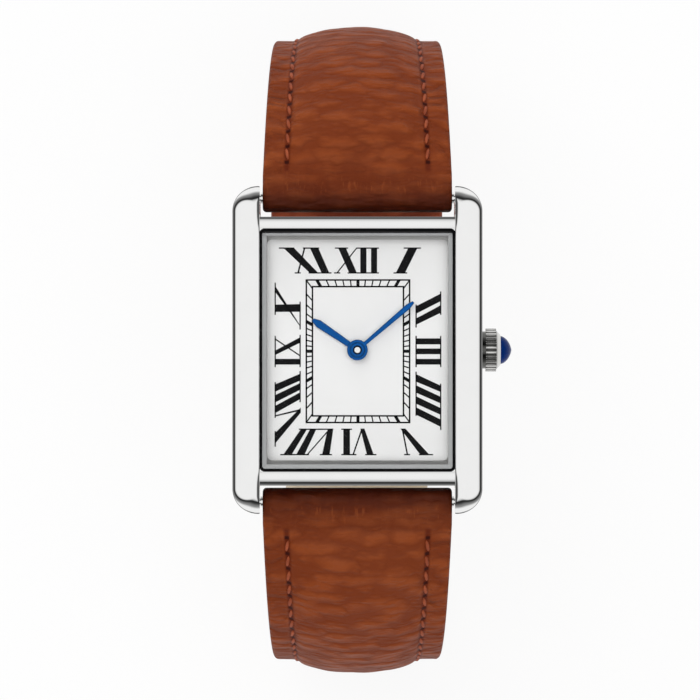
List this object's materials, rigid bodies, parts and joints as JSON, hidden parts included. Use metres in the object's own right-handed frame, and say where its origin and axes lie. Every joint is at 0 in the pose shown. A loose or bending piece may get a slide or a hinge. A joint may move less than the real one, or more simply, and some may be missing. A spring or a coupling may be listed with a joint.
{
  "type": "wristwatch",
  "caption": "Rectangular dress wristwatch with rounded side rails, crossbars, cabochon crown and padded leather strap with tang buckle; tells the time on a wrist.",
  "frame": {"origin": "on the case back's flat outer face, under the axis of the hands", "axes": "+Z out of the dial, +Y towards twelve o'clock, +X towards the crown at three o'clock"},
  "size_m": [0.0285, 0.0692, 0.051],
  "materials": {
    "polished_steel": "polished",
    "brushed_steel": "satin",
    "magnet_steel": "satin",
    "crystal_glass": "clear",
    "black_rubber": "matte",
    "white_dial": "satin lacquer",
    "blued_steel": "heat blued, glossy",
    "white_plastic": "matte",
    "brass_plate": "satin",
    "brass_wheel": "polished",
    "green_board": "satin",
    "black_chip": "matte",
    "copper_wire": "varnished",
    "blue_cabochon": "polished stone",
    "brown_leather": "grained, semi-gloss",
    "lining_leather": "smooth, matte"
  },
  "bodies": {
    "case": {"case_middle": "polished_steel", "crystal": "crystal_glass", "crystal_gasket": "black_rubber", "dial": "white_dial", "case_back": "brushed_steel", "back_gasket": "black_rubber", "back_screws": "brushed_steel", "case_tube": "brushed_steel", "movement_holder": "white_plastic", "main_plate": "brass_plate", "train_bridge": "brass_plate", "movement_screws": "brushed_steel", "battery": "brushed_steel", "battery_clip": "brushed_steel", "circuit_board": "green_board", "control_chip": "black_chip", "quartz_can": "brushed_steel", "coil_winding": "copper_wire", "coil_core": "brushed_steel", "stator": "brushed_steel", "spring_bar_upper": "brushed_steel", "spring_bar_lower": "brushed_steel"},
    "minute_train": {"centre_wheel": "brass_wheel", "cannon_pinion": "brushed_steel", "minute_hand": "blued_steel"},
    "hour_train": {"hour_wheel": "brass_wheel", "hour_hand": "blued_steel"},
    "third": {"third_wheel": "brass_wheel"},
    "intermediate": {"intermediate_wheel": "brass_wheel"},
    "motor_rotor": {"rotor": "magnet_steel"},
    "minute_gear": {"minute_wheel": "brass_wheel"},
    "setting_gear": {"setting_wheel": "brass_wheel"},
    "clutch": {"clutch_wheel": "brushed_steel"},
    "crown_stem": {"crown": "polished_steel", "crown_cabochon": "blue_cabochon", "crown_gasket": "black_rubber", "winding_stem": "brushed_steel"},
    "lever": {"setting_lever": "brushed_steel"},
    "upper_strap": {"upper_strap_fold": "lining_leather", "upper_strap_leather": "brown_leather", "upper_strap_lining": "lining_leather", "buckle_fold": "lining_leather", "fixed_keeper": "brown_leather"},
    "keeper": {"free_keeper": "brown_leather"},
    "buckle": {"buckle_frame": "polished_steel", "buckle_bar": "brushed_steel"},
    "tongue": {"buckle_tongue": "polished_steel"},
    "lower_strap": {"lower_strap_fold": "lining_leather", "lower_strap_leather": "brown_leather", "lower_strap_lining": "lining_leather"}
  },
  "joints": [
    {"name": "minute_hand_turn", "type": "hinge", "parent": "case", "child": "minute_train", "pos_m": [0, 0, 0], "axis": [0, 0, -1], "continuous": true},
    {"name": "hour_hand_turn", "type": "hinge", "parent": "case", "child": "hour_train", "pos_m": [0, 0, 0], "axis": [0, 0, -1], "continuous": true},
    {"name": "third_wheel_turn", "type": "hinge", "parent": "case", "child": "third", "pos_m": [-0.00208, 0.0012, 0], "axis": [0, 0, -1], "continuous": true},
    {"name": "intermediate_wheel_turn", "type": "hinge", "parent": "case", "child": "intermediate", "pos_m": [-0.00156, 0.00415, 0], "axis": [0, 0, -1], "continuous": true},
    {"name": "rotor_turn", "type": "hinge", "parent": "case", "child": "motor_rotor", "pos_m": [-0.00036, 0.00623, 0], "axis": [0, 0, -1], "continuous": true},
    {"name": "minute_wheel_turn", "type": "hinge", "parent": "case", "child": "minute_gear", "pos_m": [0.00184, -0.00154, 0], "axis": [0, 0, -1], "continuous": true},
    {"name": "setting_wheel_turn", "type": "hinge", "parent": "case", "child": "setting_gear", "pos_m": [0.00428, -0.00065, 0], "axis": [0, 0, -1], "continuous": true},
    {"name": "crown_turn", "type": "hinge", "parent": "case", "child": "clutch", "pos_m": [0, 0, 0.0026], "axis": [1, 0, 0], "continuous": true},
    {"name": "crown_pull", "type": "slide", "parent": "clutch", "child": "crown_stem", "axis": [1, 0, 0], "range_m": [0, 0.0008]},
    {"name": "setting_lever_turn", "type": "hinge", "parent": "case", "child": "lever", "pos_m": [0.00705, -0.0038, 0], "axis": [0, 0, -1], "range_deg": [0, 12.3]},
    {"name": "upper_strap_swing", "type": "hinge", "parent": "case", "child": "upper_strap", "pos_m": [0, 0.0156, 0.0025], "axis": [1, 0, 0], "range_deg": [0, 60]},
    {"name": "lower_strap_swing", "type": "hinge", "parent": "case", "child": "lower_strap", "pos_m": [0, -0.0156, 0.0025], "axis": [-1, 0, 0], "range_deg": [0, 60]},
    {"name": "free_keeper_slide", "type": "slide", "parent": "upper_strap", "child": "keeper", "axis": [0, 1, 0], "range_m": [0, 0.003]},
    {"name": "buckle_swing", "type": "hinge", "parent": "upper_strap", "child": "buckle", "pos_m": [0, 0.00824, -0.03993], "axis": [-1, 0, 0], "range_deg": [-20, 80]},
    {"name": "tongue_swing", "type": "hinge", "parent": "buckle", "child": "tongue", "pos_m": [0, 0.00824, -0.03993], "axis": [1, 0, 0], "range_deg": [0, 100]}
  ],
  "couplings": [
    {"joint": "hour_hand_turn", "follows": "minute_hand_turn", "ratio": 0.083333},
    {"joint": "third_wheel_turn", "follows": "minute_hand_turn", "ratio": -5},
    {"joint": "intermediate_wheel_turn", "follows": "minute_hand_turn", "ratio": 20},
    {"joint": "rotor_turn", "follows": "minute_hand_turn", "ratio": -60},
    {"joint": "minute_wheel_turn", "follows": "minute_hand_turn", "ratio": -0.33333},
    {"joint": "setting_wheel_turn", "follows": "minute_hand_turn", "ratio": 0.75},
    {"joint": "setting_lever_turn", "follows": "crown_pull", "rad_per_m": 265.14}
  ]
}
